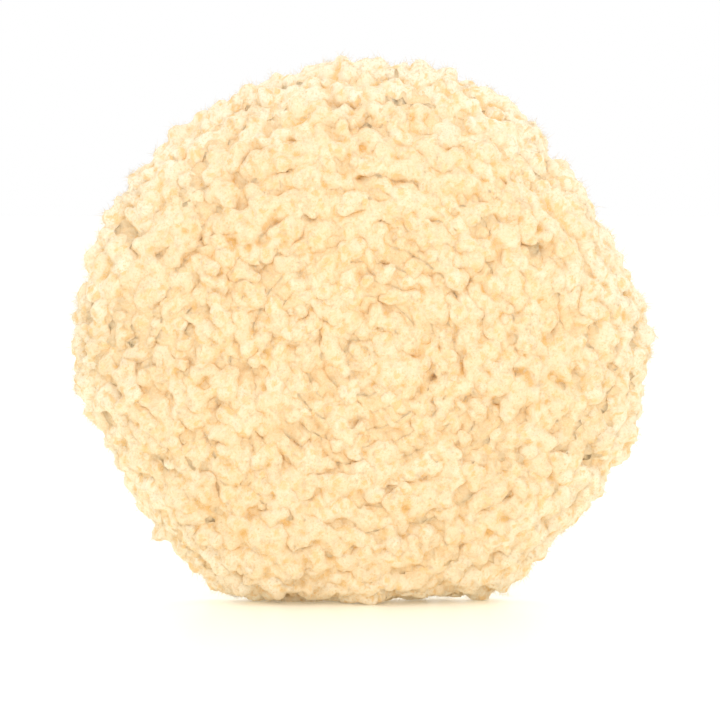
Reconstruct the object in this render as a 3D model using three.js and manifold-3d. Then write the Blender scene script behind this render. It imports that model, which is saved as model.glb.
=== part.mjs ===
// A single-sided wool polishing pad with a loop back, standing on its rim.
// Millimetres, +Z up. The wool face looks along -Y, the loop face along +Y, and the disc's axis
// runs along Y. The floor under the rim is the plane z = 0.

import * as THREE from 'three';
import { mergeVertices } from 'three/addons/utils/BufferGeometryUtils.js';
import Module from 'manifold-3d';

const wasm = await Module();
wasm.setup();

// --- Driving dimensions -------------------------------------------------------------------------

const HUB_HEIGHT = 98; // centre of the disc above the floor
const CENTRE_HOLE_RADIUS = 6.3; // centring hole through the back layers
const GAP = 0.3; // clearance kept between neighbouring pieces
const SEGMENTS = 36; // flats round every ring

// Thickness and outer radius of each back layer, from the loop face inwards.
const LOOP_FABRIC = { thickness: 2.4, radius: 88 };
const ADHESIVE_FILM = { thickness: 0.4, radius: 84 };
const LATEX_COAT = { thickness: 1.5, radius: 84.5 };
const BACKING_CLOTH = { thickness: 1.2, radius: 84.5 };

// The wool pile: tufts of one length, rooted in the backing cloth between two radii. The lean is the
// angle from the face's own direction, a little inwards at the hole and just past radial at the rim.
const PILE_LENGTH = 31.3;
const PILE_ROOT = { inner: 6.6, outer: 84 };
const PILE_LEAN = { centre: -2.5, rim: 100, power: 3 };
const COURSES = 14;
const COURSE_VALLEY = 1.2; // how far the wool dips between two courses
const MARGIN = 6; // how far the solids that cut and bound the pile reach past it

// The rim isn't a true circle: its radius at angles counted from +X towards +Z. The lower corners
// stand either side of the stretch that the floor flattens.
const RIM_RADIUS = 114;
const RIM_CORNERS = [
  [0, 114], [30, 105.5], [75, 113.5], [105, 112.5], [122, 111], [150, 112.5], [180, 114],
  [208, 105.5], [241, 110.5], [270, 102.5], [299, 109.5], [316, 106], [345, 111.5],
];

// Lock stitches, each sunk in a groove of the loop fabric.
const RIM_SEAM_RADIUS = 83;
const CENTRE_SEAM_RADIUS = 10.5;
const THREAD_RADIUS = 0.5;
const THREAD_SIDES = 6;
const GROOVE = { halfWidth: THREAD_RADIUS + 0.4, depth: 2 * THREAD_RADIUS + 2 * GAP };

// --- Materials ----------------------------------------------------------------------------------

const wool = () => new THREE.MeshStandardMaterial({ color: 0xf7dfb4, roughness: 0.95, metalness: 0 });
const cloth = () => new THREE.MeshStandardMaterial({ color: 0xd9cfb8, roughness: 0.9, metalness: 0 });
const latex = () => new THREE.MeshStandardMaterial({ color: 0xe6dcc0, roughness: 0.6, metalness: 0 });
const film = () => new THREE.MeshStandardMaterial({ color: 0xf2efe4, roughness: 0.35, metalness: 0 });
const loops = () => new THREE.MeshStandardMaterial({ color: 0xefede6, roughness: 0.92, metalness: 0 });
const thread = () => new THREE.MeshStandardMaterial({ color: 0xf6f3ea, roughness: 0.7, metalness: 0 });

// --- Shape helpers ------------------------------------------------------------------------------

// Radius of the rim at an angle in degrees, eased from one corner to the next.
function rimRadius(angle) {
  const turn = ((angle % 360) + 360) % 360;
  for (let i = 0; i < RIM_CORNERS.length; i++) {
    const [start, from] = RIM_CORNERS[i];
    const [nextAngle, to] = RIM_CORNERS[(i + 1) % RIM_CORNERS.length];
    const end = nextAngle > start ? nextAngle : nextAngle + 360;
    if (turn >= start && turn <= end) {
      const t = (turn - start) / (end - start);
      return from + (to - from) * (1 - Math.cos(Math.PI * t)) / 2;
    }
  }
  return RIM_RADIUS;
}

// A solid turned round the Y axis. The profile's points are (radius, y), counter-clockwise, and a
// profile that doesn't start and end on the axis closes on itself.
function turned(profile) {
  const points = profile.map(([radius, y]) => new THREE.Vector2(radius, y));
  if (points[0].x > 0) points.push(points[0].clone());
  return new THREE.LatheGeometry(points, SEGMENTS);
}

// Moves what stands out past the roots in or out, so that the round rim follows its corners.
function shapeRim(geometry) {
  const position = geometry.attributes.position;
  const free = RIM_RADIUS - PILE_ROOT.outer;
  for (let i = 0; i < position.count; i++) {
    const x = position.getX(i);
    const z = position.getZ(i);
    const radius = Math.hypot(x, z);
    if (radius > PILE_ROOT.outer) {
      const angle = THREE.MathUtils.radToDeg(Math.atan2(z, x));
      const share = (rimRadius(angle) - PILE_ROOT.outer) / free;
      const scale = (PILE_ROOT.outer + (radius - PILE_ROOT.outer) * share) / radius;
      position.setX(i, x * scale);
      position.setZ(i, z * scale);
    }
  }
  return geometry;
}

function toManifold(geometry) {
  const bare = geometry.clone();
  bare.deleteAttribute('normal');
  bare.deleteAttribute('uv');
  const merged = mergeVertices(bare);
  return new wasm.Manifold(new wasm.Mesh({
    numProp: 3,
    vertProperties: Float32Array.from(merged.attributes.position.array),
    triVerts: Uint32Array.from(merged.index.array),
  }));
}

function toGeometry(manifold) {
  const mesh = manifold.getMesh();
  const geometry = new THREE.BufferGeometry();
  geometry.setAttribute('position', new THREE.BufferAttribute(mesh.vertProperties, 3));
  geometry.setIndex(new THREE.BufferAttribute(mesh.triVerts, 1));
  geometry.computeVertexNormals();
  return geometry;
}

// The block of ground under the pad.
function ground() {
  const size = 4 * RIM_RADIUS;
  const block = new THREE.BoxGeometry(size, size, size);
  block.translate(0, 0, -HUB_HEIGHT - size / 2);
  return block;
}

// --- Back layers --------------------------------------------------------------------------------

const pad = new THREE.Group();

function place(name, geometry, material) {
  const mesh = new THREE.Mesh(geometry, material);
  mesh.name = name;
  pad.add(mesh);
}

// A flat washer between the centring hole and a radius.
function layer(top, { thickness, radius }) {
  return turned([
    [radius, top],
    [CENTRE_HOLE_RADIUS, top],
    [CENTRE_HOLE_RADIUS, top - thickness],
    [radius, top - thickness],
  ]);
}

// The loop face is a washer with a groove for each seam, and its plane is y = 0 here.
function loopDisc() {
  const groove = (radius) => [
    [radius + GROOVE.halfWidth, 0],
    [radius + GROOVE.halfWidth, -GROOVE.depth],
    [radius - GROOVE.halfWidth, -GROOVE.depth],
    [radius - GROOVE.halfWidth, 0],
  ];
  return turned([
    [LOOP_FABRIC.radius, 0],
    ...groove(RIM_SEAM_RADIUS),
    ...groove(CENTRE_SEAM_RADIUS),
    [CENTRE_HOLE_RADIUS, 0],
    [CENTRE_HOLE_RADIUS, -LOOP_FABRIC.thickness],
    [LOOP_FABRIC.radius, -LOOP_FABRIC.thickness],
  ]);
}

// A ring of thread lying in the middle of its groove.
function seam(radius) {
  const depth = -GROOVE.depth / 2;
  const section = [];
  for (let i = 0; i < THREAD_SIDES; i++) {
    const angle = (2 * Math.PI * i) / THREAD_SIDES;
    section.push([radius + THREAD_RADIUS * Math.cos(angle), depth + THREAD_RADIUS * Math.sin(angle)]);
  }
  return turned(section);
}

const filmTop = -LOOP_FABRIC.thickness - GAP;
const latexTop = filmTop - ADHESIVE_FILM.thickness - GAP;
const clothTop = latexTop - LATEX_COAT.thickness - GAP;
const rootPlane = clothTop - BACKING_CLOTH.thickness - GAP;

place('loop_fabric_disc', loopDisc(), loops());
place('rim_seam_thread', seam(RIM_SEAM_RADIUS), thread());
place('centre_seam_thread', seam(CENTRE_SEAM_RADIUS), thread());
place('adhesive_film', layer(filmTop, ADHESIVE_FILM), film());
place('latex_coat', layer(latexTop, LATEX_COAT), latex());
place('backing_cloth', layer(clothTop, BACKING_CLOTH), cloth());

// --- Wool pile ----------------------------------------------------------------------------------

// A point on the line that the tufts follow: across runs from 0 at the hole to 1 at the rim, and
// along is the distance from the root. side moves it square to that line.
function pilePoint(across, along, side = 0) {
  const { centre, rim, power } = PILE_LEAN;
  const lean = THREE.MathUtils.degToRad(centre + (rim - centre) * across ** power);
  const root = THREE.MathUtils.lerp(PILE_ROOT.inner, PILE_ROOT.outer, across);
  return [
    root + along * Math.sin(lean) + side * Math.cos(lean),
    rootPlane - along * Math.cos(lean) + side * Math.sin(lean),
  ];
}

// Everything inside the pile's outer surface: ribbed where the courses' crowns stand out, shaped at
// the rim, and flat where it stands on the floor.
function pileEnvelope() {
  const shoulder = PILE_LENGTH - COURSE_VALLEY;
  const crown = [];
  for (let i = 0; i < COURSES; i++) {
    crown.push(pilePoint(i / COURSES, shoulder));
    crown.push(pilePoint((i + 0.5) / COURSES, PILE_LENGTH));
  }
  const profile = [
    [0, crown[0][1]],
    ...crown,
    pilePoint(1, shoulder),
    pilePoint(1, shoulder, MARGIN),
    [0, rootPlane + MARGIN],
  ];
  return toManifold(shapeRim(turned(profile))).subtract(toManifold(ground()));
}

// One course: the wool between two of the tufts' lines, up to the pile's outer surface.
function course(index, envelope) {
  const inner = index / COURSES;
  const outer = (index + 1) / COURSES;
  const band = turned([
    [pilePoint(outer, 0)[0] - GAP / 2, rootPlane],
    [pilePoint(inner, 0)[0] + GAP / 2, rootPlane],
    pilePoint(inner, PILE_LENGTH + MARGIN, GAP / 2),
    pilePoint(outer, PILE_LENGTH + MARGIN, -GAP / 2),
  ]);
  return toGeometry(toManifold(band).intersect(envelope));
}

const envelope = pileEnvelope();
for (let i = 0; i < COURSES; i++) {
  place(`wool_course_${String(i + 1).padStart(2, '0')}`, course(i, envelope), wool());
}

// --- Place the pad in its frame -----------------------------------------------------------------

// The origin is on the floor, under the middle of the pad's box.
const middle = new THREE.Box3().setFromObject(pad).getCenter(new THREE.Vector3());
pad.position.set(-middle.x, -middle.y, HUB_HEIGHT);

export default pad;
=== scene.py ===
"""Looks of a single-sided wool polishing pad that stands on its rim, built round its CAD frame.

Metres, in the CAD's own frame: +Z up, the wool face looks along -Y and the loop face along +Y.
"""

import math

import bpy
import numpy as np
from mathutils.kdtree import KDTree
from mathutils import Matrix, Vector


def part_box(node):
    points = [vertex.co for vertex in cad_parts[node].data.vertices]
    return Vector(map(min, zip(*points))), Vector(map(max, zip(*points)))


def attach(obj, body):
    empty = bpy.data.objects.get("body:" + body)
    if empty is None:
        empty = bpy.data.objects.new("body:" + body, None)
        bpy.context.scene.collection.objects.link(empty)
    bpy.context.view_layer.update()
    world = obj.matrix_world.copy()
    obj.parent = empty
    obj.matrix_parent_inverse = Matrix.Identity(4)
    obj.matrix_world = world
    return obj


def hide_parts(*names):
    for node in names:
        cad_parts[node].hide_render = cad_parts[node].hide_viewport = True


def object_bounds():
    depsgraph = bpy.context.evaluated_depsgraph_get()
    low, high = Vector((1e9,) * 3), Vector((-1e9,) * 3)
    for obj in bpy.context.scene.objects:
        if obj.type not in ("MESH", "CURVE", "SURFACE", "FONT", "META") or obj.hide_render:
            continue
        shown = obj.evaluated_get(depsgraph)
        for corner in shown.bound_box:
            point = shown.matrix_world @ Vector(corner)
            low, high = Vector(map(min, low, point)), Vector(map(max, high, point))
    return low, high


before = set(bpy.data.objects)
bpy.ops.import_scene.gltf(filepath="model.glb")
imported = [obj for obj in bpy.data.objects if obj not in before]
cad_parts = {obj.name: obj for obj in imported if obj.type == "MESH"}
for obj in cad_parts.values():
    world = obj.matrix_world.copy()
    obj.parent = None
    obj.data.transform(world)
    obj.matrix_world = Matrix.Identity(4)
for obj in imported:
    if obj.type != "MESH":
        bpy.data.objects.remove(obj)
CAD_BOX = [list(corner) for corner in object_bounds()]

MM = 0.001

# --- Places taken from the frame ------------------------------------------------------------------

LOOP_LOW, LOOP_HIGH = (np.array(corner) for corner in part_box("loop_fabric_disc"))
HUB = (LOOP_LOW + LOOP_HIGH) / 2
HUB[1] = LOOP_HIGH[1]
LOOP_RADIUS = (LOOP_HIGH[0] - LOOP_LOW[0]) / 2
ROOT_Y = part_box("wool_course_01")[1].y
CROWN_Y = CAD_BOX[0][1]
FLOOR_Z = CAD_BOX[0][2]
COURSES = sum(name.startswith("wool_course_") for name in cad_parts)

# --- The pile's layout, as the CAD has it ----------------------------------------------------------

PILE_LENGTH = ROOT_Y - CROWN_Y
ROOT_INNER = 6.6 * MM  # the first and the last tuft's roots stand this far from the hub's middle
ROOT_OUTER = 84 * MM
WIDTH = ROOT_OUTER - ROOT_INNER
LEAN_CENTRE = -2.5  # the tufts' lean outwards from the face's direction, in degrees
LEAN_RIM = 100
LEAN_POWER = 3
HOLE_LEAN = -16  # how much further the locks round the hole lean in over it, in degrees
HOLE_LEAN_REACH = 0.16  # over this share of the disc, counted from the hole
DIMPLE = 0.07  # share by which the tufts round the hole are shorter
DIMPLE_REACH = 0.2  # over this share of the disc
LEAN_DRIFT = 4  # degrees by which neighbouring tufts stray together
LEAN_SCATTER = 3  # degrees by which each tuft strays on its own
LENGTH_TRIM = 0.012  # shares of the pile's length
LENGTH_DRIFT = 0.018
LENGTH_SCATTER = 0.028
CLUMP_SIZE = 5  # tufts
CLUMP_PULL = 0.1  # share of the way to the clump's middle
FLOOR_CLEARANCE = 2.2 * MM  # the lowest tips end this far above the floor, as their heads are fat
FLOOR_EASE = 0.8 * MM  # how gradually wool flattens against the floor
RIM_RADIUS = 114 * MM
RIM_CORNERS = [  # the outline's bulges and flats, as (degrees, radius in mm), eased between
    (0, 114), (30, 105.5), (75, 113.5), (105, 112.5), (122, 111), (150, 112.5), (180, 114),
    (208, 105.5), (241, 110.5), (270, 102.5), (299, 109.5), (316, 106), (345, 111.5), (360, 114),
]

# --- Wool locks ------------------------------------------------------------------------------------

LOCK_SPACING = 4.7 * MM  # between neighbouring tips, on the pile's outer surface
ZIGZAG = 0.24  # how far locks stand to either side of the course's middle, in courses
LOCK_SIDES = 14  # points round a lock
LOCK_STATIONS = np.array([0.64, 0.74, 0.81, 0.87, 0.92, 0.96, 0.988])  # places along a lock
LOCK_RADII = np.array([3.5, 3.75, 3.8, 3.65, 3.2, 2.45, 1.4]) * MM
BARE_STEM = [0.02, 0.26, 0.48]  # further places on the rim's locks, whose stems show from behind
BARE_RADII = np.array([1.2, 1.8, 2.4]) * MM
CRUMB = 3.6 * MM  # size of the lumps on a lock
CRUMB_HEIGHT = 0.36 * MM
RIDGE_HEIGHT = 0.2 * MM  # the strands of fibre that run along a lock
FUZZ_HEIGHT = 0.11 * MM  # the fine roughness of the felted fibres
BACK_START = 22 * MM  # how far back rim wool lies before it is pressed forward
BACK_EASE = 6 * MM  # the most it reaches beyond that
HOOK = 7 * MM  # how far a lock's end bends over sideways
HOOK_POWER = 1.8  # how late along its outer half a lock bends
LOCK_SIZES = (0.72, 1.25)  # times the radii above
LOCK_OVAL = 0.18  # the most a lock's outline swells in two lobes, as a share of its radius
LOCK_SPLIT = 0.1  # and in three
HEAD_HEIGHT = 0.45 * MM  # a lock's point above its last station
WISPS_PER_LOCK = 38
RIM_WISPS_PER_LOCK = 44
WISP_LENGTHS = (1.4 * MM, 4.2 * MM)
WISP_RADII = (0.04 * MM, 0.1 * MM)
WISP_ROOT = 0.12 * MM  # how deep in its lock a wisp starts
WISP_STATIONS = 5  # wisps grow on this many of a lock's outermost stations
RIM_PAINTED_LIGHT = 1.2  # painted light: how much paler the rim's tips are painted, as if lit from behind, on the scale of the tone attribute
WISP_PAINTED_LIGHT = 0.8  # painted light: how much paler the wisps are painted than their own lock, as if light shone through them
BARE_COURSES = 2  # the outermost courses, whose locks are modelled from the root up
MELT_GRID = 1.05 * MM  # locks that touch are felted together over about this distance
RIM_MELT_GRID = 1.2 * MM
HOLLOW_STEPS = 14  # rounds of averaging between neighbours that tell a hollow from a head
UNDERWOOL = 0.89  # height of the matted wool between the locks, as a share of the pile's
UNDERWOOL_ROUGHNESS = 1.3 * MM
RIM_UNDERWOOL = 0.35  # share of the outermost course it fills, so that course's locks show from behind
RIM_UNDERWOOL_HEIGHT = 0.68  # how high its outer edge stands there
STRAND_STRETCH = 0.65  # share of a lock's length left out of its streaks' coordinates, to draw them out
SOFTENING = 0.7  # how far shading normals turn from the surface's own towards the lock's direction

# --- Sizes on the back -----------------------------------------------------------------------------

HOLE_RADIUS = 6.3 * MM
NAP_HEIGHT = 1.15 * MM
NAP_SPACING = 1.9 * MM
NAP_YARN = 0.12 * MM  # radius of the loops' yarn
STITCH_PITCH = {"rim_seam_thread": 4 * MM, "centre_seam_thread": 3 * MM}
STITCH_DEPTH = 0.8 * MM  # how far a seam pulls the loop face in
GROOVE_REACH = 1.5 * MM  # and how far to either side of it
THREAD_RADIUS = 0.36 * MM

rng = np.random.default_rng(20)


def smooth(low, high, x):
    """0 below low, 1 above high and eased between."""
    t = np.clip((x - low) / (high - low), 0, 1)
    return t * t * (3 - 2 * t)


def unit(v):
    return v / np.maximum(np.linalg.norm(v, axis=-1, keepdims=True), 1e-12)


def rim_radius(angle):
    """The rim's radius in metres at angles in radians, eased from corner to corner."""
    turn = np.degrees(angle) % 360
    corners = np.array(RIM_CORNERS, float)
    k = np.clip(np.searchsorted(corners[:, 0], turn, side="right") - 1, 0, len(corners) - 2)
    t = (turn - corners[k, 0]) / (corners[k + 1, 0] - corners[k, 0])
    ease = (1 - np.cos(math.pi * t)) / 2
    return (corners[k, 1] + (corners[k + 1, 1] - corners[k, 1]) * ease) * MM


class Waves:
    """A smooth random field over space: a sum of seeded sine waves of about one length."""

    def __init__(self, length, count=14):
        directions = unit(rng.normal(size=(count, 3)))
        lengths = length * rng.uniform(0.7, 1.5, (count, 1))
        self.k = directions * 2 * math.pi / lengths
        self.phase = rng.uniform(0, 2 * math.pi, count)
        self.gain = math.sqrt(2 / count)

    def __call__(self, points):
        return self.gain * np.sin(points @ self.k.T + self.phase).sum(-1)


# --- Meshes ----------------------------------------------------------------------------------------


def mesh_object(name, points, quads, triangles, material, attributes=None):
    """A new object from arrays: points, quads and triangles, with point attributes by name."""
    mesh = bpy.data.meshes.new(name)
    quads = np.asarray(quads, np.int32).reshape(-1, 4)
    triangles = np.asarray(triangles, np.int32).reshape(-1, 3)
    corners = np.concatenate([quads.ravel(), triangles.ravel()])
    starts = np.concatenate([
        np.arange(len(quads)) * 4,
        len(quads) * 4 + np.arange(len(triangles)) * 3,
    ])
    mesh.vertices.add(len(points))
    mesh.vertices.foreach_set("co", np.asarray(points, np.float32).ravel())
    mesh.loops.add(len(corners))
    mesh.loops.foreach_set("vertex_index", corners.astype(np.int32))
    mesh.polygons.add(len(starts))
    mesh.polygons.foreach_set("loop_start", starts.astype(np.int32))
    mesh.update(calc_edges=True)
    mesh.validate()
    mesh.polygons.foreach_set("use_smooth", np.full(len(mesh.polygons), True))
    for key, values in (attributes or {}).items():
        values = np.asarray(values, np.float32)
        kind, field = ("FLOAT", "value") if values.ndim == 1 else ("FLOAT_VECTOR", "vector")
        mesh.attributes.new(key, kind, "POINT").data.foreach_set(field, values.ravel())
    obj = bpy.data.objects.new(name, mesh)
    bpy.context.scene.collection.objects.link(obj)
    mesh.materials.append(material)
    return obj


def tube_faces(tubes, rings, sides):
    """Quads between the rings of many tubes, whose points run by tube, ring and side."""
    t = np.arange(tubes)[:, None, None] * rings * sides
    r = np.arange(rings - 1)[None, :, None] * sides
    s = np.arange(sides)[None, None, :]
    following = (s + 1) % sides
    a = t + r + s
    b = t + r + following
    return np.stack([a, b, b + sides, a + sides], -1).reshape(-1, 4)


def ring_faces(turns, sides):
    """Quads of a closed ring: points run by turn round the axis, then round the closed outline."""
    here = np.arange(turns)[:, None] * sides + np.arange(sides)
    beside = np.roll(here, -1, axis=1)
    onward = np.roll(here, -1, axis=0)
    return np.stack([here, beside, np.roll(beside, -1, axis=0), onward], -1).reshape(-1, 4)


def felted(points, quads, triangles, grid):
    """One skin round closed bodies that overlap: (points, quads, the nearest old point to each)."""
    rough = mesh_object("felting", points, quads, triangles, bpy.data.materials.new("felting"))
    remesh = rough.modifiers.new("skin", "REMESH")
    remesh.mode = "VOXEL"
    remesh.voxel_size = grid
    relax = rough.modifiers.new("relax", "SMOOTH")
    relax.factor = 0.5
    relax.iterations = 2
    shown = rough.evaluated_get(bpy.context.evaluated_depsgraph_get())
    mesh = shown.to_mesh()
    skin = np.empty(len(mesh.vertices) * 3, np.float32)
    mesh.vertices.foreach_get("co", skin)
    skin = skin.reshape(-1, 3).astype(float)
    corners = np.empty(len(mesh.loops), np.int32)
    mesh.loops.foreach_get("vertex_index", corners)
    shown.to_mesh_clear()
    bpy.data.objects.remove(rough)
    tree = KDTree(len(points))
    for k, point in enumerate(points):
        tree.insert(point, k)
    tree.balance()
    nearest = np.array([tree.find(point)[1] for point in skin])
    return skin, corners.reshape(-1, 4), nearest


def skin_normals(points, quads):
    """Unit vectors that stand out from a skin of quads at its points."""
    across = points[quads[:, 2]] - points[quads[:, 0]]
    normal = np.cross(across, points[quads[:, 3]] - points[quads[:, 1]])
    corners = quads.ravel()
    total = [np.bincount(corners, np.repeat(normal[:, k], 4), len(points)) for k in range(3)]
    return unit(np.stack(total, -1))


def hollows(points, quads, normals):
    """How far each point of a skin lies below the surface's own average round it, in metres."""
    a = quads.ravel()
    b = np.roll(quads, -1, axis=1).ravel()
    degree = np.bincount(a, minlength=len(points)) + np.bincount(b, minlength=len(points))
    average = points.copy()
    for _ in range(HOLLOW_STEPS):
        total = [
            np.bincount(a, average[b, k], len(points)) + np.bincount(b, average[a, k], len(points))
            for k in range(3)
        ]
        average = np.stack(total, -1) / degree[:, None]
    return ((average - points) * normals).sum(-1)


# --- Wool tufts ------------------------------------------------------------------------------------

lean_drift = Waves(34 * MM)
side_drift = Waves(30 * MM)
height_drift = Waves(26 * MM)
hook_field_x = Waves(19 * MM)
hook_field_y = Waves(19 * MM)
hook_field_z = Waves(19 * MM)
crumb_field = Waves(CRUMB)


def lean_at(across):
    """The tufts' lean in radians, from the face's direction outwards, by their place across the disc."""
    across = np.asarray(across)
    over_hole = HOLE_LEAN * np.clip(1 - across / HOLE_LEAN_REACH, 0, 1)
    return np.radians(LEAN_CENTRE + (LEAN_RIM - LEAN_CENTRE) * across**LEAN_POWER + over_hole)


def tip_profile(across):
    """(radius, depth) of the tufts' tips on the pile's outer surface."""
    root = ROOT_INNER + WIDTH * np.asarray(across)
    lean = lean_at(across)
    return np.stack([root + PILE_LENGTH * np.sin(lean), -PILE_LENGTH * np.cos(lean)], -1)


def tuft_roots(course):
    """(angle, across) of each tuft in a course; across is 0 at the hole and 1 at the rim."""
    middle = (course + 0.5) / COURSES
    inner, outer = tip_profile(course / COURSES), tip_profile((course + 1) / COURSES)
    area = math.pi * (inner[0] + outer[0]) * np.linalg.norm(outer - inner)
    area = max(area, 2 * math.pi * (ROOT_INNER + WIDTH * middle) * WIDTH / COURSES)
    count = 2 * round(area / LOCK_SPACING**2 / 2)
    step = 2 * math.pi / count
    angle = (np.arange(count) + rng.uniform(-0.3, 0.3, count)) * step + rng.uniform(0, step)
    side = np.where(np.arange(count) % 2 == 0, -ZIGZAG, ZIGZAG)
    across = middle + (side + rng.uniform(-0.14, 0.14, count)) / COURSES
    return angle, across


def along_disc(angle):
    """Unit vectors pointing outwards and sideways in the disc's plane, and forwards."""
    zero = np.zeros_like(angle)
    outward = np.stack([np.cos(angle), zero, np.sin(angle)], -1)
    sideways = np.stack([-np.sin(angle), zero, np.cos(angle)], -1)
    forward = np.stack([zero, zero - 1, zero], -1)
    return outward, sideways, forward


def tuft_lines(course):
    """Root, middle and tip control points of every tuft in a course."""
    angle, across = tuft_roots(course)
    count = len(angle)
    outward, sideways, forward = along_disc(angle)
    radius = ROOT_INNER + WIDTH * across
    root = HUB + outward * radius[:, None]
    root[:, 1] = ROOT_Y
    base_lean = lean_at(across)
    lean = base_lean + np.radians(LEAN_DRIFT * lean_drift(root) + rng.normal(0, LEAN_SCATTER, count))
    aside = np.radians(LEAN_DRIFT * side_drift(root) + rng.normal(0, LEAN_SCATTER, count))
    aim = outward * np.sin(lean)[:, None] + forward * np.cos(lean)[:, None]
    aim = unit(aim * np.cos(aside)[:, None] + sideways * np.sin(aside)[:, None])
    start = outward * np.sin(base_lean)[:, None] + forward * np.cos(base_lean)[:, None]
    stray = LENGTH_DRIFT * height_drift(root) + rng.normal(0, LENGTH_SCATTER, count)
    length = PILE_LENGTH * (1 - LENGTH_TRIM + stray)
    dimpled = 1 - DIMPLE * smooth(DIMPLE_REACH, 0, across)
    tip = root + aim * (length * dimpled)[:, None]
    middle = root + start * (0.55 * length)[:, None]
    return root, shape_rim(middle), shape_rim(tip)


def shape_rim(points):
    """Moves what stands out past the roots in or out, so that the round rim follows its corners."""
    flat = points[..., [0, 2]] - HUB[[0, 2]]
    radius = np.linalg.norm(flat, axis=-1)
    angle = np.arctan2(flat[..., 1], flat[..., 0])
    share = (rim_radius(angle) - ROOT_OUTER) / (RIM_RADIUS - ROOT_OUTER)
    wanted = np.where(radius > ROOT_OUTER, ROOT_OUTER + (radius - ROOT_OUTER) * share, radius)
    scale = wanted / np.maximum(radius, 1e-9)
    out = points.copy()
    out[..., 0] = HUB[0] + flat[..., 0] * scale
    out[..., 2] = HUB[2] + flat[..., 1] * scale
    return out


def clump(tips):
    """Pulls neighbouring tips a little way together, into clumps."""
    centres = tips[rng.choice(len(tips), len(tips) // CLUMP_SIZE, replace=False)]
    near = np.empty(len(tips), int)
    for part in np.array_split(np.arange(len(tips)), 8):
        near[part] = np.linalg.norm(tips[part, None] - centres[None], axis=-1).argmin(1)
    return tips + (centres[near] - tips) * CLUMP_PULL


def rest_on_floor(root, middle, tip):
    """Tips that would reach below the floor bend forwards or back along it instead."""
    lowest = FLOOR_Z + FLOOR_CLEARANCE + rng.uniform(0, 1.5, len(tip)) * MM
    sunk = np.maximum(lowest - tip[:, 2], 0)
    tip = tip.copy()
    tip[:, 2] += sunk
    in_front = tip[:, 1] < ROOT_Y - 0.45 * PILE_LENGTH
    towards = np.where(in_front, -1.0, 0.35)
    tip[:, 1] += towards * 0.55 * sunk
    tip[:, 0] += np.sign(tip[:, 0] - HUB[0]) * 0.25 * sunk
    middle = middle.copy()
    middle[:, 2] = np.maximum(middle[:, 2], FLOOR_Z + 3 * MM)
    return root, middle, tip


def soft_floor(points):
    """Squashes what is left below the floor on to it, and leaves what is well above it alone."""
    height = (points[..., 2] - FLOOR_Z) / FLOOR_EASE
    squashed = np.log1p(np.exp(np.minimum(height, 20)))
    points[..., 2] = FLOOR_Z + FLOOR_EASE * np.where(height > 20, height, squashed)
    return points


def soft_back(points):
    """Presses the rim's longest strands forward, so none reaches far behind the loop face."""
    over = np.maximum(points[..., 1] - BACK_START, 0)
    points[..., 1] = np.minimum(points[..., 1], BACK_START) + BACK_EASE * (1 - np.exp(-over / BACK_EASE))
    return points


def lobes(around, number, most, count):
    """How far each of many locks bulges at angles round it, in a number of lobes of random size."""
    share = most * rng.uniform(0, 1, (count, 1, 1))
    return share * np.cos(number * around + rng.uniform(0, 6.28, (count, 1, 1)))


def make_locks(root, middle, tip, at, radii):
    """Many locks, each a strand that swells to a rounded, bent-over head.

    Given as (points by lock, station and side, the point that closes each head, the way each point
    faces, the way each station runs, relief, the way each lock aims).
    """
    count = len(root)
    t = at[None, :, None]
    p0, p1, p2 = (p[:, None] for p in (root, middle, tip))
    centre = (1 - t) ** 2 * p0 + 2 * (1 - t) * t * p1 + t**2 * p2
    aim = unit(p2 - p1)
    swirl = np.stack([hook_field_x(tip), hook_field_y(tip), hook_field_z(tip)], -1)
    swirl = unit(0.8 * swirl + rng.normal(0, 0.6, (count, 3)))[:, None]
    swirl = unit(swirl - aim * (swirl * aim).sum(-1, keepdims=True))
    hook = HOOK * rng.uniform(0.35, 1.4, (count, 1, 1)) * np.clip(2 * t - 1, 0, 1) ** HOOK_POWER
    centre = centre + swirl * hook - aim * (0.28 * hook - 0.03 * PILE_LENGTH * t)
    tangent = unit(np.gradient(centre, axis=1))
    side_a = unit(np.cross(tangent, unit(rng.normal(size=(count, 1, 3)))))
    side_b = np.cross(tangent, side_a)

    u = np.arange(LOCK_SIDES) * 2 * math.pi / LOCK_SIDES
    spoke = np.cos(u)[:, None] * side_a[:, :, None] + np.sin(u)[:, None] * side_b[:, :, None]
    size = rng.uniform(*LOCK_SIZES, (count, 1, 1))
    bloom = smooth(0.3, 0.8, at)[None, :, None]
    oval = 1 + bloom * lobes(u, 2, LOCK_OVAL, count)
    split = 1 + bloom * lobes(u, 3, LOCK_SPLIT, count)
    radius = size * radii[None, :, None] * oval * split
    points = centre[:, :, None] + spoke * radius[..., None]

    rise = np.gradient(radii) / np.gradient(at * PILE_LENGTH)
    away = unit(spoke - tangent[:, :, None] * rise[None, :, None, None])
    wander = rng.uniform(-1, 1, (count, 1, 3)) * 40 * MM
    lumps = crumb_field(points.reshape(count, -1, 3) + wander).reshape(radius.shape)
    ridge = rng.normal(0, 0.8, (count, 1, LOCK_SIDES)) + rng.normal(0, 0.45, radius.shape)
    shrink = radii[None, :, None] / radii.max()
    shift = (CRUMB_HEIGHT * lumps + RIDGE_HEIGHT * ridge * shrink) * (0.9 + 0.1 * bloom)
    points = points + away * shift[..., None]
    cap = centre[:, -1] + tangent[:, -1] * HEAD_HEIGHT
    relief = shift / (CRUMB_HEIGHT + RIDGE_HEIGHT)
    return points, cap, away, tangent, relief, aim


def leaned(normals, aim):
    """Normals leaned towards the way the wool grows, less so where they face against it."""
    agree = np.clip(1 + (normals * aim).sum(-1, keepdims=True), 0, 1)
    return unit(normals + aim * agree)


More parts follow.
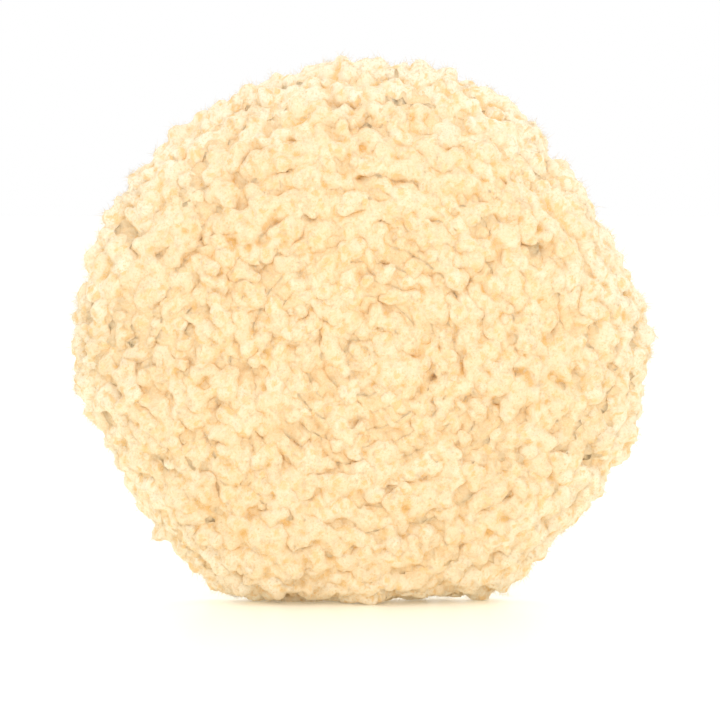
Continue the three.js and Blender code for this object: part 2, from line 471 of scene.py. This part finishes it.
def make_wisps(points, away, tangent, at, per_lock):
    """Stray strands that lift off the locks' heads, each a thin closed spike.

    Given as (points by wisp, faces, place along the lock, the way each point faces, the lock).
    """
    count, stations, sides, _ = points.shape
    owner = np.repeat(np.arange(count), per_lock)
    station = rng.integers(stations - WISP_STATIONS, stations, len(owner))
    side = rng.integers(0, sides, len(owner))
    out = away[owner, station, side]
    axis = tangent[owner, station]
    here = points[owner, station, side]
    beside = points[owner, station, (side + 1) % sides]
    start = here + rng.uniform(-0.5, 0.5, (len(owner), 1)) * (beside - here) - WISP_ROOT * out
    direction = unit(0.25 * out + 0.35 * axis + rng.normal(0, 0.6, out.shape))
    length = rng.uniform(*WISP_LENGTHS, (len(owner), 1))
    wide = unit(np.cross(direction, out))
    other = np.cross(direction, wide)
    u = np.arange(3) * 2 * math.pi / 3
    ring = np.cos(u)[None, :, None] * wide[:, None] + np.sin(u)[None, :, None] * other[:, None]
    radius = rng.uniform(*WISP_RADII, (len(owner), 1, 1))
    end = start + direction * length
    wisps = np.concatenate([start[:, None] + ring * radius, end[:, None]], 1)
    base = np.arange(len(owner))[:, None] * 4
    faces = np.concatenate([base + np.array(f) for f in ((0, 1, 3), (1, 2, 3), (2, 0, 3), (2, 1, 0))])
    radial = np.concatenate([ring, direction[:, None]], 1)
    return wisps, faces, at[station], unit(out[:, None] + radial), owner


def underwool(course):
    """The matted wool between a course's locks: a closed ring with a rough top.

    Given as (points, quads, each point's place along the pile, the way the wool grows there).
    """
    turns, levels, spread = 100 + 18 * course, 7, 6
    rim = course == COURSES - 1
    height = np.linspace(0.02, UNDERWOOL, levels)
    edges = np.linspace(course, course + (RIM_UNDERWOOL if rim else 1), spread) / COURSES
    top = np.linspace(UNDERWOOL, RIM_UNDERWOOL_HEIGHT if rim else UNDERWOOL, spread)
    loop = [(edges[0], h) for h in height] + list(zip(edges[1:-1], top[1:-1]))
    loop = np.array(loop + [(edges[-1], h * top[-1] / UNDERWOOL) for h in height[::-1]])
    angle = np.arange(turns) * 2 * math.pi / turns
    outward, _, forward = along_disc(angle)
    lean = lean_at(loop[:, 0])
    radius = ROOT_INNER + WIDTH * loop[:, 0] + loop[:, 1] * PILE_LENGTH * np.sin(lean)
    depth = loop[:, 1] * PILE_LENGTH * np.cos(lean)
    points = HUB + outward[:, None] * radius[:, None] + forward[:, None] * depth[:, None]
    points[..., 1] += ROOT_Y - HUB[1]
    lumps = crumb_field(points.reshape(-1, 3)).reshape(points.shape[:2])
    rough = UNDERWOOL_ROUGHNESS * lumps * smooth(0.3, 0.6, loop[:, 1])
    aim = outward[:, None] * np.sin(lean)[:, None] + forward[:, None] * np.cos(lean)[:, None]
    points = shape_rim(points + aim * rough[..., None])
    points[..., 2] = np.maximum(points[..., 2], FLOOR_Z + 2.5 * MM)
    quads = ring_faces(turns, len(loop))
    return points.reshape(-1, 3), quads, np.tile(loop[:, 1], turns), aim.reshape(-1, 3)


def lock_ends(count, stations, sides):
    """Triangles that close many locks: round the point of each head, and across each foot."""
    first = (np.arange(count) * stations * sides)[:, None]
    last = first + (stations - 1) * sides
    around = np.arange(sides)[None]
    top = np.broadcast_to(count * stations * sides + np.arange(count)[:, None], (count, sides))
    heads = np.stack([last + around, last + (around + 1) % sides, top], -1).reshape(-1, 3)
    fan = np.arange(1, sides - 1)
    feet = np.stack(np.broadcast_arrays(first, first + fan + 1, first + fan), -1).reshape(-1, 3)
    return np.concatenate([heads, feet])


def wool_course(course, lines, material):
    """One course of locks as one object, standing for its CAD ring."""
    bare = course >= COURSES - BARE_COURSES
    at = np.concatenate([BARE_STEM, LOCK_STATIONS]) if bare else LOCK_STATIONS
    radii = np.concatenate([BARE_RADII, LOCK_RADII]) if bare else LOCK_RADII
    points, cap, away, tangent, relief, aim = make_locks(*lines, at, radii)
    count, stations, sides, _ = points.shape
    # each lock's tone is random, plus painted light that makes the rim's tips paler
    tone = rng.uniform(0, 1, count) + RIM_PAINTED_LIGHT * smooth(0.75, 1.0, (course + 0.5) / COURSES)
    skin, skin_quads, nearest = felted(
        np.concatenate([points.reshape(-1, 3), cap]),
        tube_faces(count, stations, sides),
        lock_ends(count, stations, sides),
        RIM_MELT_GRID if bare else MELT_GRID,
    )
    normals = skin_normals(skin, skin_quads)
    hollow = hollows(skin, skin_quads, normals)
    skin = skin + normals * rng.normal(0, FUZZ_HEIGHT, (len(skin), 1))
    numbers = np.arange(count)
    lock = np.concatenate([np.repeat(numbers, stations * sides), numbers])[nearest]
    along_locks = np.broadcast_to(at[None, :, None], relief.shape).ravel()
    place = np.concatenate([along_locks, np.ones(count)])[nearest]
    lumps = np.concatenate([relief.ravel(), np.zeros(count)])[nearest]
    mixed = np.ptp(lock[skin_quads], axis=1) > 0
    border = np.zeros(len(skin))
    border[skin_quads[mixed]] = 1
    wisps, wisp_faces, wisp_place, wisp_facing, owner = make_wisps(
        points, away, tangent, at, RIM_WISPS_PER_LOCK if bare else WISPS_PER_LOCK
    )
    mat_points, mat_quads, mat_along, mat_aim = underwool(course)
    mats = len(mat_points)
    wisps_from = len(skin)
    mat_from = wisps_from + len(wisps) * 4

    spots = np.concatenate([skin, wisps.reshape(-1, 3), mat_points])
    owners = np.concatenate([lock, np.repeat(owner, 4), np.zeros(mats, int)])
    axis = tangent[owners, -3]
    from_tip = spots - cap[owners]
    strand = from_tip - STRAND_STRETCH * (from_tip * axis).sum(-1, keepdims=True) * axis
    # how much painted crease shade each wisp takes, in mm on the hollow scale
    lift = np.repeat(rng.uniform(-0.6, 0.1, len(wisps)), 4) * MM
    mat_normals = skin_normals(mat_points, mat_quads)
    facing = SOFTENING * np.concatenate([
        leaned(normals, aim[lock, 0]), wisp_facing.reshape(-1, 3), leaned(mat_normals, mat_aim)
    ])
    obj = mesh_object(
        f"wool_tufts_{course + 1:02d}",
        soft_floor(soft_back(spots)),
        np.concatenate([skin_quads, mat_quads + mat_from]),
        wisp_faces + wisps_from,
        material,
        {
            # along also paints shade: lower down the locks and on the underwool
            "along": np.concatenate([place, np.repeat(wisp_place, 4), 0.92 * mat_along]),
            # tone: random paler locks, with painted light on the rim's tips and the wisps
            "tone": np.concatenate([
                tone[lock], np.repeat(tone[owner], 4) + WISP_PAINTED_LIGHT, np.full(mats, 0.5)
            ]),
            # relief also paints shade in the locks' dents
            "relief": np.concatenate([lumps, np.zeros(len(spots) - wisps_from)]),
            # hollow paints crease shade; a few wisps get a little at random, the underwool a fixed share
            "hollow": np.concatenate([hollow, lift, np.full(mats, 0.25 * MM)]) / MM,
            "border": np.concatenate([border, np.zeros(len(wisps) * 4), np.ones(mats)]),
            "facing": facing,
            "strand": strand / MM + (tone[owners] * 900)[:, None],
        },
    )
    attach(obj, "root")
    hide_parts(f"wool_course_{course + 1:02d}")


# --- Layers and seams of the back ------------------------------------------------------------------

back_drift = Waves(21 * MM)
back_pucker = Waves(5 * MM)


def seam_radius(node):
    """The radius of a seam's middle, from the outside of its CAD ring of thread."""
    low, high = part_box(node)
    return (high.x - low.x) / 2 - (high.y - low.y) / 2


def seam_grooves(points):
    """How far the seams pull the loop face in at points, in metres."""
    flat = points[..., [0, 2]] - HUB[[0, 2]]
    radius = np.linalg.norm(flat, axis=-1)
    angle = np.arctan2(flat[..., 1], flat[..., 0])
    depth = 0
    for node, pitch in STITCH_PITCH.items():
        middle = seam_radius(node)
        stitches = round(2 * math.pi * middle / pitch)
        away = (radius - middle) / GROOVE_REACH
        pull = 1 + 0.3 * np.cos(angle * stitches) * np.exp(-np.abs(away) * 0.5)
        depth = depth + STITCH_DEPTH * np.exp(-(away**2)) * pull
    return depth


def disc(name, low, high, radius, material, node, rough, round_edge, grooves):
    """A flat ring of sheet material between two depths, with a rough face, a soft edge and the hub hole."""
    turns, bands = (256, 48) if grooves else (180, 14)
    thick = high - low
    across = np.linspace(0, 1, bands)
    edge = round_edge * thick
    inner, outer = HOLE_RADIUS + 0.1 * MM, radius
    top = inner + edge + (outer - inner - 2 * edge) * across
    outline = [(r, high) for r in top]
    outline += [(outer, high - edge), (outer, low + edge)]
    outline += [(r, low) for r in top[::-6]]
    outline += [(inner, low + edge), (inner, high - edge)]
    outline = np.array(outline)
    angle = np.arange(turns) * 2 * math.pi / turns
    outward, _, _ = along_disc(angle)
    wavy = 1 + 0.0018 * back_drift(outward * 60 * MM)[:, None] * (outline[:, 0] > outer - 2 * edge)
    points = HUB + outward[:, None] * (outline[:, 0] * wavy)[..., None]
    points[..., 1] = outline[:, 1]
    face = smooth(low, high, outline[:, 1])
    shift = rough * (0.5 * back_drift(points.reshape(-1, 3)) + back_pucker(points.reshape(-1, 3)))
    shift = np.minimum(shift.reshape(points.shape[:2]), 0)
    if grooves:
        shift = shift - seam_grooves(points)
    points[..., 1] += shift * face
    obj = mesh_object(name, points.reshape(-1, 3), ring_faces(turns, len(outline)), [], material)
    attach(obj, "root")
    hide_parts(node)
    return obj


def loop_nap(face_y, material):
    """The loops that the hook plate grips: small arches of yarn all over the loop fabric's face."""
    rows = []
    radius = HOLE_RADIUS + 1.6 * MM
    while radius < LOOP_RADIUS - 0.9 * MM:
        count = round(2 * math.pi * radius / NAP_SPACING)
        angle = (np.arange(count) + rng.uniform()) * 2 * math.pi / count
        rows.append(np.stack([np.full(count, radius), angle], -1))
        radius += NAP_SPACING * 0.87
    place = np.concatenate(rows)
    count = len(place)
    outward, _, _ = along_disc(place[:, 1])
    base = HUB + outward * (place[:, 0] + rng.normal(0, 0.25, count) * MM)[:, None]
    base[:, 1] = face_y
    base[:, 1] -= seam_grooves(base)
    turn = rng.uniform(0, 2 * math.pi, count)
    across, along, _ = along_disc(turn)
    width = rng.uniform(0.55, 1.0, (count, 1)) * MM
    pressed = np.where(seam_grooves(base) > 0.2 * MM, 0.6, 1)[:, None]
    height = NAP_HEIGHT * rng.uniform(0.72, 0.98, (count, 1)) * pressed
    tilt = across * rng.normal(0, 0.35, (count, 1)) * MM
    arc = np.radians([-8, 35, 90, 145, 188])
    up = np.array([0, 1, 0])
    path = base[:, None] + np.cos(arc)[:, None] * (along * width)[:, None]
    rise = np.sin(arc)[:, None] * height[:, None, :]
    path = path + rise * up + np.clip(np.sin(arc), 0, 1)[:, None] * tilt[:, None]
    tangent = unit(np.gradient(path, axis=1))
    side = np.cross(tangent, across[:, None])
    u = np.arange(3) * 2 * math.pi / 3
    ring = np.cos(u)[:, None] * across[:, None, None] + np.sin(u)[:, None] * side[:, :, None]
    points = path[:, :, None] + ring * NAP_YARN
    points[..., 1] = np.minimum(points[..., 1], LOOP_HIGH[1])
    start = np.arange(count) * len(arc) * 3
    ends = np.concatenate([
        np.stack([start + 2, start + 1, start], -1),
        np.stack([start, start + 1, start + 2], -1) + (len(arc) - 1) * 3,
    ])
    painted_arch_shade = np.broadcast_to(np.clip(np.sin(arc), 0, 1)[:, None], (count, len(arc), 3)).ravel()
    tone = np.repeat(rng.uniform(0, 1, count), len(arc) * 3)
    obj = mesh_object(
        "loop_nap", points.reshape(-1, 3), tube_faces(count, len(arc), 3), ends, material,
        {"along": painted_arch_shade, "tone": tone},
    )
    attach(obj, "root")
    return obj


def stitches(name, node, face_y, material):
    """A lock-stitched seam: thread that dives into the fabric at each needle hole."""
    middle = seam_radius(node)
    count = round(2 * math.pi * middle / STITCH_PITCH[node])
    pitch = 2 * math.pi / count
    t = np.linspace(-0.5, 0.5, 9)
    angle = (np.arange(count)[:, None] + 0.94 * t[None]) * pitch
    outward, sideways, _ = along_disc(angle)
    path = HUB + outward * (middle + rng.normal(0, 0.05, (count, 1, 1)) * MM)
    lift = THREAD_RADIUS * 0.7 - 1.1 * MM * (2 * np.abs(t)) ** 5
    path[..., 1] = face_y - STITCH_DEPTH + lift
    tangent = unit(np.gradient(path, axis=1))
    side = np.cross(tangent, outward)
    sides = 8
    u = np.arange(sides) * 2 * math.pi / sides
    ring = np.cos(u)[:, None] * outward[:, :, None] + np.sin(u)[:, None] * side[:, :, None]
    points = path[:, :, None] + ring * THREAD_RADIUS
    start = (np.arange(count) * len(t) * sides)[:, None]
    s = np.arange(1, sides - 1)
    lower = np.stack(np.broadcast_arrays(start, start + s + 1, start + s), -1).reshape(-1, 3)
    upper = np.stack(np.broadcast_arrays(start, start + s, start + s + 1), -1).reshape(-1, 3)
    upper = upper + (len(t) - 1) * sides
    length = np.broadcast_to((angle * middle)[..., None], points.shape[:3]).ravel()
    turn = np.broadcast_to(u, points.shape[:3]).ravel()
    obj = mesh_object(
        name,
        points.reshape(-1, 3),
        tube_faces(count, len(t), sides),
        np.concatenate([lower, upper]),
        material,
        {"along": length / MM, "turn": turn},
    )
    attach(obj, "root")
    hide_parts(node)
    return obj


# --- Materials -------------------------------------------------------------------------------------


WOOL_CREAM = (0.93, 0.735, 0.485, 1)
WOOL_PALE_TONE_AND_LIGHT = (0.975, 0.86, 0.66, 1)
WOOL_DENT_SHADE = (0.90, 0.63, 0.32, 1)
WOOL_ROOT_SHADE = (0.88, 0.64, 0.36, 1)
WOOL_CREASE_SHADE = (0.84, 0.54, 0.22, 1)
WOOL_DARK_STREAK = (0.83, 0.55, 0.25, 1)
WOOL_PALE_STREAK = (0.96, 0.84, 0.65, 1)


class Nodes:
    """A short way to build a node material."""

    def __init__(self, name):
        self.material = bpy.data.materials.new(name)
        self.material.use_nodes = True
        self.tree = self.material.node_tree
        self.shader = self.tree.nodes["Principled BSDF"]

    def add(self, kind, inputs=None, **settings):
        node = self.tree.nodes.new(kind)
        for key, value in settings.items():
            setattr(node, key, value)
        for key, value in (inputs or {}).items():
            self.put(value, node.inputs[key])
        return node

    def put(self, value, socket):
        if isinstance(value, bpy.types.NodeSocket):
            self.tree.links.new(value, socket)
        else:
            socket.default_value = value

    def mix(self, factor, a, b):
        """The colour a, turning into the colour b as the factor rises from 0 to 1."""
        node = self.tree.nodes.new("ShaderNodeMix")
        node.data_type = "RGBA"
        for socket, value in zip((node.inputs[0], node.inputs[6], node.inputs[7]), (factor, a, b)):
            self.put(value, socket)
        return node.outputs[2]

    def attribute(self, name):
        return self.add("ShaderNodeAttribute", attribute_name=name)

    def ramp(self, value, low, high):
        """0 where the value is at low and 1 where it is at high, eased between."""
        node = self.add("ShaderNodeMapRange", {"Value": value, "From Min": low, "From Max": high})
        node.interpolation_type = "SMOOTHSTEP"
        return node.outputs["Result"]

    def set(self, **inputs):
        """Sets the shader's inputs; a name has underscores in place of spaces."""
        for key, value in inputs.items():
            self.put(value, self.shader.inputs[key.replace("_", " ")])


def noise(n, vector, scale, detail=3.0, roughness=0.5):
    inputs = {"Vector": vector, "Scale": scale, "Detail": detail, "Roughness": roughness}
    return n.add("ShaderNodeTexNoise", inputs).outputs["Fac"]


def wool_material():
    """Cream wool with streaks of fibre and locks paler at random; painted shade makes it darker and golden
    towards the roots, in dents and in the creases, and painted light makes the rim's tips and the wisps
    paler.

    The shading normal leans towards the facing attribute, as light scatters through real wool.
    """
    n = Nodes("wool_pile")
    along = n.attribute("along").outputs["Fac"]
    tone = n.attribute("tone").outputs["Fac"]
    relief = n.attribute("relief").outputs["Fac"]
    facing = n.attribute("facing").outputs["Vector"]
    strand = n.attribute("strand").outputs["Vector"]
    hollow = n.attribute("hollow").outputs["Fac"]
    border = n.attribute("border").outputs["Fac"]
    place = n.add("ShaderNodeTexCoord").outputs["Object"]
    combed = noise(n, strand, 1.5, roughness=0.7)
    matted = noise(n, place, 1.2 / MM, roughness=0.7)
    streak = n.add("ShaderNodeMix", {"Factor": border, "A": combed, "B": matted}).outputs["Result"]
    # paler locks at random, and painted light on the rim's tips and the wisps
    colour = n.mix(n.ramp(tone, 0.3, 1.8), WOOL_CREAM, WOOL_PALE_TONE_AND_LIGHT)
    # painted shade: darker and warmer where the lumps and ridges are pressed in
    colour = n.mix(n.ramp(relief, 0.2, -1.1), colour, WOOL_DENT_SHADE)
    # painted shade: darker and warmer down the locks towards their roots, and on the underwool
    colour = n.mix(n.ramp(along, 0.94, 0.6), colour, WOOL_ROOT_SHADE)
    # painted shade: darker and golden in the hollows between the heads
    colour = n.mix(n.ramp(hollow, -0.05, 1.0), colour, WOOL_CREASE_SHADE)
    colour = n.mix(n.ramp(streak, 0.48, 0.78), colour, WOOL_DARK_STREAK)
    colour = n.mix(n.ramp(streak, 0.5, 0.15), colour, WOOL_PALE_STREAK)
    bump = n.add("ShaderNodeBump", {"Height": streak, "Strength": 1.0, "Distance": 0.5 * MM})
    soft = n.add("ShaderNodeVectorMath", {0: bump.outputs["Normal"], 1: facing}, operation="ADD")
    soft = n.add("ShaderNodeVectorMath", {0: soft.outputs[0]}, operation="NORMALIZE")
    n.set(Base_Color=colour, Roughness=0.92, Normal=soft.outputs[0], Specular_IOR_Level=0.05)
    n.material.cycles.use_bump_map_correction = False
    return n.material


def disc_coordinates(n):
    """Texture coordinates in millimetres in the disc's plane, centred on the hub."""
    place = n.add("ShaderNodeTexCoord").outputs["Object"]
    mapping = n.add("ShaderNodeMapping", {"Vector": place})
    mapping.inputs["Location"].default_value = (0, 0, -HUB[2] / MM)
    mapping.inputs["Scale"].default_value = (1 / MM, 1 / MM, 1 / MM)
    return mapping.outputs[0]


def bands(n, vector, direction, pitch, wobble=0.6):
    """Parallel ridges a pitch apart in millimetres, slightly wobbly."""
    wave = n.add("ShaderNodeTexWave", {"Vector": vector, "Scale": 0.314 / pitch, "Distortion": wobble})
    wave.bands_direction = direction
    wave.inputs["Detail Scale"].default_value = 1.5
    return wave.outputs["Fac"]


def loop_material():
    """Brushed knit: courses of stitches under the nap, off-white, with a soft sheen."""
    n = Nodes("loop_fabric")
    vector = disc_coordinates(n)
    wales, courses = bands(n, vector, "X", 1.1), bands(n, vector, "Z", 0.9)
    knit = n.add("ShaderNodeMath", {0: wales, 1: courses}, operation="ADD")
    fuzz = noise(n, vector, 2.4)
    patches = noise(n, vector, 0.06, 2.0)
    along = n.attribute("along").outputs["Fac"]
    tone = n.attribute("tone").outputs["Fac"]
    colour = n.mix(n.ramp(fuzz, 0.3, 0.7), (0.74, 0.72, 0.67, 1), (0.86, 0.845, 0.80, 1))
    # painted shade: the loops are darker at their feet and paler towards the tops of their arches
    colour = n.mix(n.ramp(along, 0.0, 1.0), colour, (0.90, 0.885, 0.845, 1))
    colour = n.mix(n.ramp(tone, 0.0, 1.8), colour, (0.80, 0.78, 0.73, 1))
    colour = n.mix(n.ramp(patches, 0.4, 0.9), colour, (0.83, 0.80, 0.74, 1))
    height = n.add("ShaderNodeMath", {0: knit.outputs[0], 1: fuzz}, operation="ADD")
    bump = n.add("ShaderNodeBump", {"Height": height.outputs[0], "Strength": 0.8, "Distance": 0.25 * MM})
    n.set(Base_Color=colour, Roughness=n.ramp(fuzz, -1.0, 0.8), Normal=bump.outputs["Normal"])
    n.set(Sheen_Weight=0.4, Sheen_Roughness=0.5, Specular_IOR_Level=0.2)
    return n.material


def cloth_material():
    """Plain weave: warp over weft, natural cotton with slubs."""
    n = Nodes("backing_cloth")
    vector = disc_coordinates(n)
    warp = bands(n, vector, "X", 0.9)
    weft = bands(n, vector, "Z", 0.9)
    weave = n.add("ShaderNodeMath", {0: warp, 1: weft}, operation="MAXIMUM").outputs[0]
    slub = noise(n, vector, 0.5)
    # painted shade: darker where the weave is low, between the yarns
    colour = n.mix(n.ramp(weave, 0.2, 1.0), (0.50, 0.43, 0.31, 1), (0.72, 0.65, 0.51, 1))
    colour = n.mix(n.ramp(slub, 0.45, 0.8), colour, (0.60, 0.51, 0.37, 1))
    bump = n.add("ShaderNodeBump", {"Height": weave, "Strength": 0.9, "Distance": 0.3 * MM})
    n.set(Base_Color=colour, Roughness=n.ramp(slub, -1.4, 0.9), Normal=bump.outputs["Normal"])
    n.set(Sheen_Weight=0.2, Specular_IOR_Level=0.25)
    return n.material


def latex_material():
    """Cured latex: cream, mottled, with small pits and a dull skin."""
    n = Nodes("latex_coat")
    vector = disc_coordinates(n)
    mottle = noise(n, vector, 0.35)
    pits = n.add("ShaderNodeTexVoronoi", {"Vector": vector, "Scale": 1.1}).outputs["Distance"]
    colour = n.mix(n.ramp(mottle, 0.3, 0.7), (0.72, 0.64, 0.46, 1), (0.82, 0.75, 0.58, 1))
    bump = n.add("ShaderNodeBump", {"Height": pits, "Strength": 0.6, "Distance": 0.2 * MM})
    n.set(Base_Color=colour, Roughness=n.ramp(mottle, -0.4, 1.4), Normal=bump.outputs["Normal"])
    n.set(Subsurface_Weight=0.1, Subsurface_Scale=1 * MM)
    return n.material


def film_material():
    """Heat-bonded film: pale, satin and slightly rippled."""
    n = Nodes("adhesive_film")
    vector = disc_coordinates(n)
    ripple = noise(n, vector, 0.18, 4.0)
    colour = n.mix(n.ramp(ripple, 0.3, 0.7), (0.82, 0.79, 0.69, 1), (0.88, 0.86, 0.78, 1))
    bump = n.add("ShaderNodeBump", {"Height": ripple, "Strength": 0.4, "Distance": 0.3 * MM})
    n.set(Base_Color=colour, Roughness=n.ramp(ripple, -0.5, 2.2), Normal=bump.outputs["Normal"])
    return n.material


def thread_material():
    """Twisted polyester: three strands round each other, with a slight sheen."""
    n = Nodes("seam_thread")
    along = n.attribute("along").outputs["Fac"]
    turn = n.attribute("turn").outputs["Fac"]
    phase = n.add("ShaderNodeMath", {0: along, 1: 4.0}, operation="MULTIPLY").outputs[0]
    phase = n.add("ShaderNodeMath", {0: phase, 1: turn}, operation="ADD").outputs[0]
    phase = n.add("ShaderNodeMath", {0: phase, 1: 3.0}, operation="MULTIPLY").outputs[0]
    strand = n.add("ShaderNodeMath", {0: phase}, operation="SINE").outputs[0]
    # painted shade: darker in the grooves between the twisted strands
    colour = n.mix(n.ramp(strand, -1.0, 0.6), (0.62, 0.58, 0.50, 1), (0.90, 0.88, 0.82, 1))
    bump = n.add("ShaderNodeBump", {"Height": strand, "Strength": 0.7, "Distance": 0.12 * MM})
    n.set(Base_Color=colour, Roughness=n.ramp(strand, 4.0, -2.5), Normal=bump.outputs["Normal"])
    n.set(Sheen_Weight=0.3, Specular_IOR_Level=0.4)
    return n.material


def floor_material():
    """A white sweep that glows a little, warm like the photo's floor."""
    n = Nodes("pale_floor")
    n.set(Base_Color=(0.975, 0.96, 0.86, 1), Roughness=0.35, Specular_IOR_Level=0.3)
    n.set(Emission_Color=(1, 0.93, 0.75, 1), Emission_Strength=0.16)
    return n.material


# --- Build -----------------------------------------------------------------------------------------

wool = wool_material()
lines = [tuft_lines(course) for course in range(COURSES)]
sizes = [len(root) for root, _, _ in lines]
roots, middles, tips = (np.concatenate(part) for part in zip(*lines))
roots, middles, tips = rest_on_floor(roots, middles, clump(tips))
ends = np.cumsum(sizes)[:-1]
courses = zip(*(np.split(part, ends) for part in (roots, middles, tips)))
for course, line in enumerate(courses):
    wool_course(course, line, wool)


def sheet_disc(
    name, node, material, rough, round_edge, high=None, grooves=False
):
    """A disc of sheet material in its CAD node's place, as wide as that node."""
    low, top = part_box(node)
    radius = (top.x - low.x) / 2
    high = top.y if high is None else high
    obj = disc(name, low.y, high, radius, material, node, rough, round_edge, grooves)
    return obj


cloth = sheet_disc(
    "backing_cloth_woven", "backing_cloth", cloth_material(),
    rough=0.05 * MM, round_edge=0.25,
)
latex = sheet_disc(
    "latex_skin", "latex_coat", latex_material(), rough=0.06 * MM, round_edge=0.4
)
film = sheet_disc(
    "adhesive_sheet", "adhesive_film", film_material(),
    rough=0.02 * MM, round_edge=0.3,
)
loop_face = LOOP_HIGH[1] - NAP_HEIGHT
loop_stuff = loop_material()
nap = loop_nap(loop_face, loop_stuff)
thread = thread_material()
rim_seam = stitches("rim_seam_stitches", "rim_seam_thread", loop_face, thread)
centre_seam = stitches("centre_seam_stitches", "centre_seam_thread", loop_face, thread)
sheet_disc(
    "loop_fabric_knit", "loop_fabric_disc", loop_stuff, rough=0.1 * MM,
    round_edge=0.4, high=loop_face, grooves=True,
)

# --- Stage -----------------------------------------------------------------------------------------


FLOOR_REACH = 4
PAD_MIDDLE = np.array([0, 0, HUB[2]])
AREA_LIGHTS = {  # place, width and power
    "front_softbox": ((0.15, -1.7, 0.75), 0.9, 5),
    "top_softbox": ((0.1, -0.9, 1.6), 1.0, 4),
    "left_rim_light": ((-1.2, 0.7, 0.5), 0.9, 2),
    "right_rim_light": ((1.2, 0.7, 0.5), 0.9, 2),
    "top_rim_light": ((0, 0.8, 1.3), 0.9, 2),
}
ELEVATION = math.radians(4)  # the camera's, above the level of its target
DISTANCE = 1.7
FRAME_WIDTH = 0.276  # what the picture spans at the target
TARGET = np.array([-0.8 * MM, -8 * MM, HUB[2] - 2.7 * MM])


def point_at(obj, target):
    direction = np.array(target, float) - np.array(obj.location)
    obj.rotation_euler = Vector(direction).to_track_quat("-Z", "Y").to_euler()


def area_light(name, place, size, power):
    """A round soft light that shines on the pad's middle."""
    light = bpy.data.lights.new(name, "AREA")
    light.shape = "DISK"
    light.size = size
    light.energy = power
    obj = bpy.data.objects.new(name, light)
    bpy.context.scene.collection.objects.link(obj)
    obj.location = place
    point_at(obj, PAD_MIDDLE)


corner_signs = [(-1, -1), (1, -1), (1, 1), (-1, 1)]
floor = mesh_object(
    "floor",
    [(x * FLOOR_REACH, y * FLOOR_REACH, FLOOR_Z) for x, y in corner_signs],
    [(0, 1, 2, 3)],
    [],
    floor_material(),
)

world = bpy.data.worlds.new("studio")
world.use_nodes = True
world.node_tree.nodes["Background"].inputs["Color"].default_value = (1, 1, 1, 1)
world.node_tree.nodes["Background"].inputs["Strength"].default_value = 1.0
bpy.context.scene.world = world
bpy.context.scene.view_settings.view_transform = "Standard"

for name, (place, size, power) in AREA_LIGHTS.items():
    area_light(name, place, size, power)

camera_data = bpy.data.cameras.new("camera")
camera = bpy.data.objects.new("camera", camera_data)
bpy.context.scene.collection.objects.link(camera)
bpy.context.scene.camera = camera
camera.location = TARGET + DISTANCE * np.array([0, -math.cos(ELEVATION), math.sin(ELEVATION)])
camera_data.lens = camera_data.sensor_width * DISTANCE / FRAME_WIDTH
point_at(camera, TARGET)
